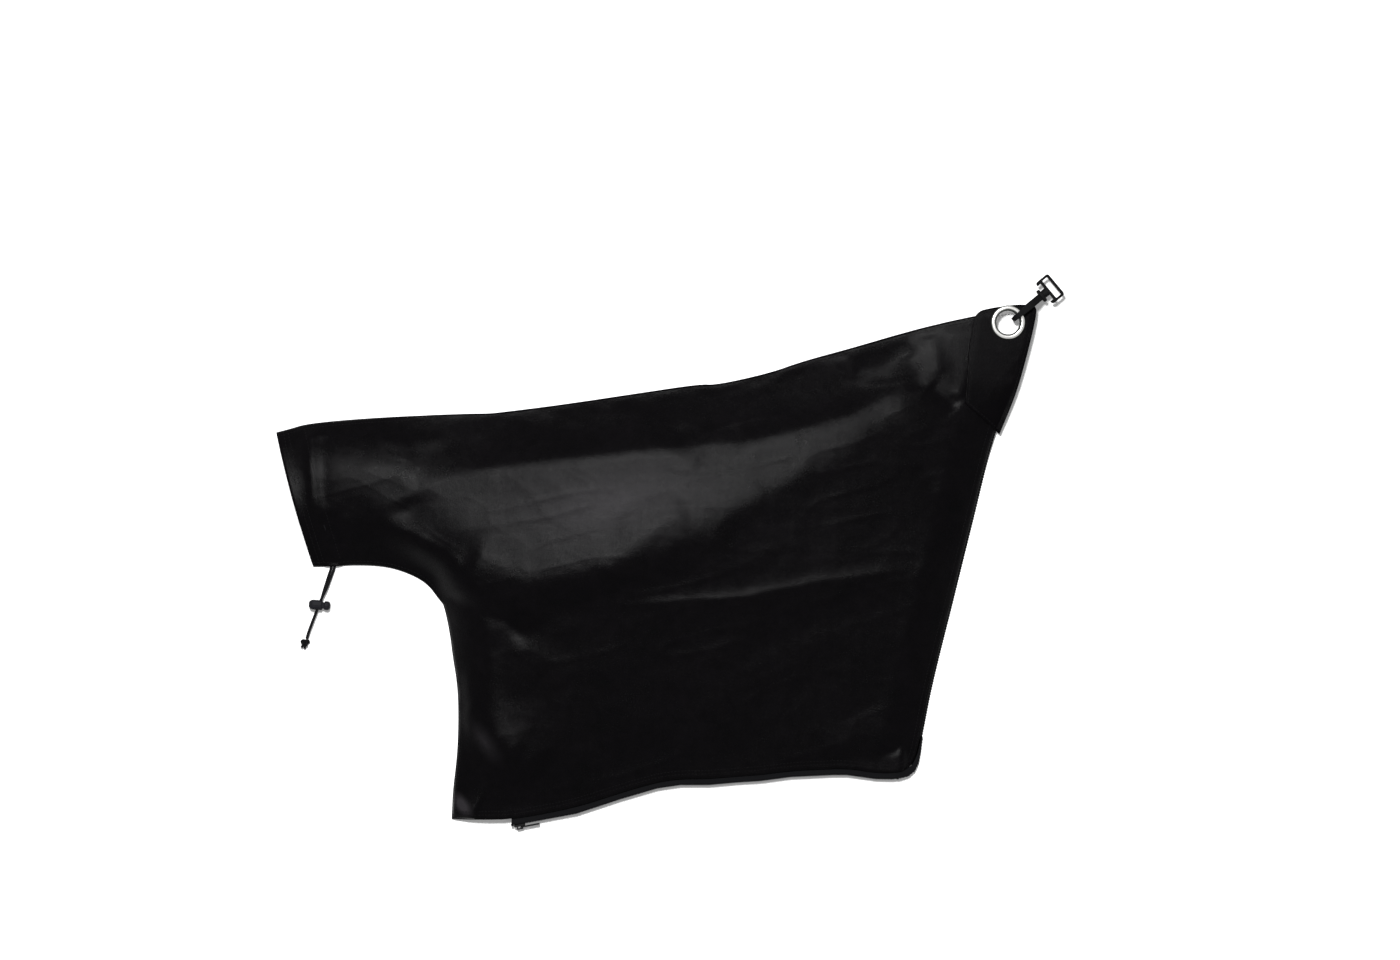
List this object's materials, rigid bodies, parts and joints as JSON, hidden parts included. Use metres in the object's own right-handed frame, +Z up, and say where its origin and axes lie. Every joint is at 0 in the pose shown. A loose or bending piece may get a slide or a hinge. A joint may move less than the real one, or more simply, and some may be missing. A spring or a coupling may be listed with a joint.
{
  "type": "leaf vacuum collection bag",
  "caption": "Black cloth leaf bag with a side sleeve, drawcord and cord lock at its mouth, a zipped bottom edge, and an eyelet corner with a swivel hanging clip.",
  "frame": {"origin": "on the floor, under the middle of the box around the bag without its free drawcord", "axes": "+Z up from the back panel, which the bag lies on; +X from the sleeve's mouth toward the hanging corner; +Y toward the top seam"},
  "size_m": [0.7868, 0.5546, 0.0451],
  "materials": {
    "cloth": "tight black woven polyester with a faint sheen",
    "patch_cloth": "the same cloth, sewn on double",
    "casing_cloth": "the same cloth, as a tunnel for the cord",
    "cord_braid": "round black braid",
    "zip_tape": "woven zip tape",
    "nickel": "bright nickel plate, lightly rubbed",
    "clip_plastic": "satin black acetal",
    "lock_plastic": "satin dark grey plastic",
    "spring_steel": "plain spring wire",
    "zip_coil": "black nylon coil",
    "slider_metal": "black painted zinc"
  },
  "bodies": {
    "bag": {"back_panel": "cloth", "front_panel": "cloth", "corner_patch_front": "patch_cloth", "corner_patch_back": "patch_cloth", "cord_casing_front": "casing_cloth", "cord_casing_back": "casing_cloth", "eyelet": "nickel", "eyelet_washer": "nickel", "snap_hook": "clip_plastic", "drawcord": "cord_braid", "drawcord_knot": "cord_braid", "zip_tape_front": "zip_tape", "zip_tape_back": "zip_tape", "zip_coil_front": "zip_coil", "zip_coil_back": "zip_coil", "zip_top_stop_front": "slider_metal", "zip_top_stop_back": "slider_metal", "zip_bottom_stop": "slider_metal"},
    "clip_loop": {"strap_loop": "clip_plastic"},
    "cord_lock": {"cord_lock_body": "lock_plastic", "cord_lock_spring": "spring_steel"},
    "lock_button": {"cord_lock_plunger": "lock_plastic"},
    "slider": {"zip_slider": "slider_metal"},
    "slider_pull": {"zip_pull": "slider_metal"}
  },
  "joints": [
    {"name": "loop_swivel", "type": "hinge", "parent": "bag", "child": "clip_loop", "pos_m": [0.34121, 0.23066, 0.014], "axis": [0.766, 0.6428, 0], "continuous": true},
    {"name": "lock_slide", "type": "slide", "parent": "bag", "child": "cord_lock", "axis": [-0.356, -0.9345, 0], "range_m": [0, 0.018]},
    {"name": "button_press", "type": "slide", "parent": "cord_lock", "child": "lock_button", "axis": [-0.9962, 0.0872, 0], "range_m": [0, 0.0025], "stiffness_N_per_m": 600, "springref_m": -0.003, "deforming": ["cord_lock_spring"]},
    {"name": "zip_slide", "type": "slide", "parent": "bag", "child": "slider", "axis": [0.9832, 0.1826, 0], "range_m": [0, 0.048], "deforming": ["zip_coil_front", "zip_coil_back"]},
    {"name": "pull_swing", "type": "hinge", "parent": "slider", "child": "slider_pull", "pos_m": [-0.14828, -0.27449, 0.006], "axis": [0, 0, 1], "range_deg": [-170, 0]}
  ]
}
